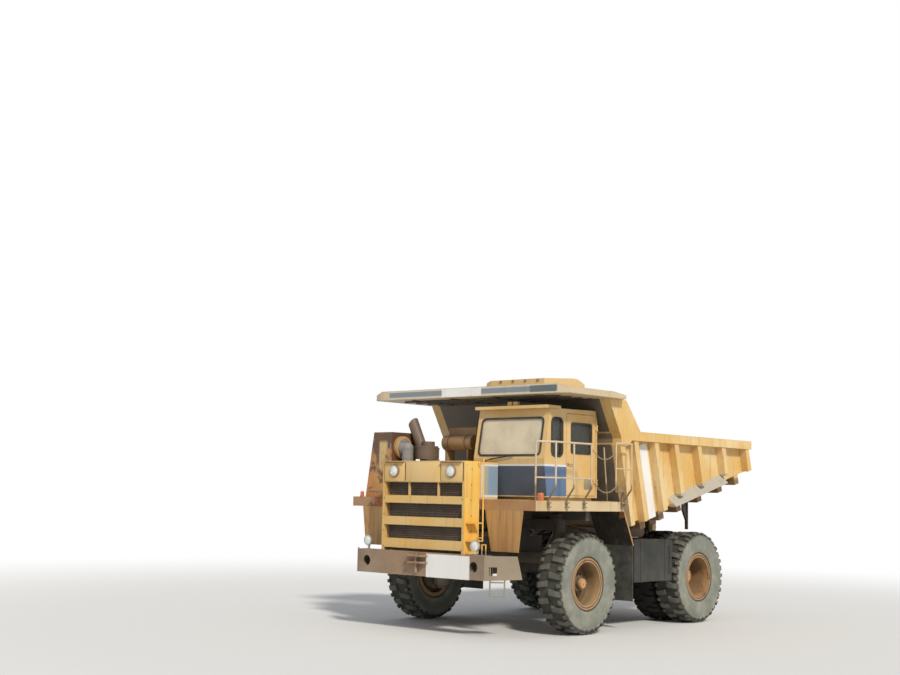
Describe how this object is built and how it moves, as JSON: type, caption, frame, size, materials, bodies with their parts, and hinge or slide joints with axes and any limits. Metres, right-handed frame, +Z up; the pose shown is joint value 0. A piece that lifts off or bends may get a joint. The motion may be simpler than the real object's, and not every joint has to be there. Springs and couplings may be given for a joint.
{
  "type": "mining dump truck",
  "caption": "Rigid two-axle mining dump truck with a tipping load body and canopy, twin rear wheels, a half-width cab with an opening door, side decks with handrails, and two hoist cylinders.",
  "frame": {"origin": "centre of the box's bottom face, on the ground between the wheels", "axes": "+X to the truck's left, +Y to its rear, +Z up"},
  "size_m": [5.0189, 8.432, 4.8843],
  "materials": {
    "frame_paint": "satin",
    "yellow_paint": "matt",
    "bumper_paint": "matt",
    "rust": "matt",
    "cream_paint": "matt",
    "navy_paint": "matt",
    "tank_paint": "matt",
    "cast": "rough",
    "rim_paint": "matt",
    "tread": "dusty",
    "flap_rubber": "matt",
    "window": "dusty",
    "lamp_glass": "gloss",
    "interior": "matt",
    "hoist_steel": "satin",
    "rail_paint": "matt",
    "core": "matt"
  },
  "bodies": {
    "chassis": {"frame": "frame_paint", "bumper": "bumper_paint", "access_ladder": "yellow_paint", "radiator_shell": "yellow_paint", "radiator_core": "core", "hood": "navy_paint", "lamps": "lamp_glass", "engine": "cast", "driveline": "cast", "left_deck": "cream_paint", "right_deck": "rust", "deck_skirts": "rust", "handrails": "rail_paint", "cab_shell": "cream_paint", "cab_glass": "window", "cab_interior": "interior", "air_cleaner": "rust", "intake_duct": "frame_paint", "exhaust_stack": "rust", "air_receiver": "rim_paint", "fuel_tank": "tank_paint", "hydraulic_tank": "tank_paint", "front_struts": "frame_paint", "rear_axle": "cast", "rear_struts": "frame_paint", "mud_flaps": "flap_rubber"},
    "cab_door": {"cab_door": "cream_paint", "door_glass": "window"},
    "knuckle_left": {"knuckle_left": "cast"},
    "knuckle_right": {"knuckle_right": "cast"},
    "wheel_front_left": {"rim_front_left": "rim_paint", "tyre_front_left": "tread"},
    "wheel_front_right": {"rim_front_right": "rim_paint", "tyre_front_right": "tread"},
    "wheels_rear_left": {"rims_rear_left": "rim_paint", "tyres_rear_left": "tread"},
    "wheels_rear_right": {"rims_rear_right": "rim_paint", "tyres_rear_right": "tread"},
    "dump_body": {"dump_body": "yellow_paint", "body_canopy": "navy_paint", "rock_ejectors": "rust"},
    "hoist_barrel_left": {"hoist_barrel_left": "frame_paint"},
    "hoist_rod_left": {"hoist_rod_left": "hoist_steel"},
    "hoist_barrel_right": {"hoist_barrel_right": "frame_paint"},
    "hoist_rod_right": {"hoist_rod_right": "hoist_steel"}
  },
  "joints": [
    {"name": "door_hinge", "type": "hinge", "parent": "chassis", "child": "cab_door", "pos_m": [1.9485, -1.214, 3.3], "axis": [0, 0, 1], "range_deg": [0, 70]},
    {"name": "steer_left", "type": "hinge", "parent": "chassis", "child": "knuckle_left", "pos_m": [1.49, -1.774, 0.93], "axis": [0, 0, 1], "range_deg": [-36, 36]},
    {"name": "steer_right", "type": "hinge", "parent": "chassis", "child": "knuckle_right", "pos_m": [-1.49, -1.774, 0.93], "axis": [0, 0, 1], "range_deg": [-36, 36]},
    {"name": "spin_front_left", "type": "hinge", "parent": "knuckle_left", "child": "wheel_front_left", "pos_m": [1.92, -1.774, 0.93], "axis": [-1, 0, 0], "continuous": true},
    {"name": "spin_front_right", "type": "hinge", "parent": "knuckle_right", "child": "wheel_front_right", "pos_m": [-1.92, -1.774, 0.93], "axis": [-1, 0, 0], "continuous": true},
    {"name": "spin_rear_left", "type": "hinge", "parent": "chassis", "child": "wheels_rear_left", "pos_m": [1.625, 2.126, 0.93], "axis": [-1, 0, 0], "continuous": true},
    {"name": "spin_rear_right", "type": "hinge", "parent": "chassis", "child": "wheels_rear_right", "pos_m": [-1.625, 2.126, 0.93], "axis": [-1, 0, 0], "continuous": true},
    {"name": "body_tip", "type": "hinge", "parent": "chassis", "child": "dump_body", "pos_m": [0, 2.726, 1.9], "axis": [-1, 0, 0], "range_deg": [0, 50]},
    {"name": "hoist_swing_left", "type": "hinge", "parent": "chassis", "child": "hoist_barrel_left", "pos_m": [0.86, 0.676, 1], "axis": [-1, 0, 0], "range_deg": [-3.4, 3.4]},
    {"name": "hoist_stroke_left", "type": "slide", "parent": "hoist_barrel_left", "child": "hoist_rod_left", "axis": [0, 0.6485, 0.7612], "range_m": [0, 0.8528]},
    {"name": "hoist_swing_right", "type": "hinge", "parent": "chassis", "child": "hoist_barrel_right", "pos_m": [-0.86, 0.676, 1], "axis": [-1, 0, 0], "range_deg": [-3.4, 3.4]},
    {"name": "hoist_stroke_right", "type": "slide", "parent": "hoist_barrel_right", "child": "hoist_rod_right", "axis": [0, 0.6485, 0.7612], "range_m": [0, 0.8528]}
  ],
  "couplings": [
    {"joint": "steer_right", "follows": "steer_left", "ratio": 1},
    {"joint": "hoist_swing_left", "follows": "body_tip", "ratio": 0.047},
    {"joint": "hoist_stroke_left", "follows": "body_tip", "m_per_rad": 0.975},
    {"joint": "hoist_swing_right", "follows": "body_tip", "ratio": 0.047},
    {"joint": "hoist_stroke_right", "follows": "body_tip", "m_per_rad": 0.975}
  ]
}
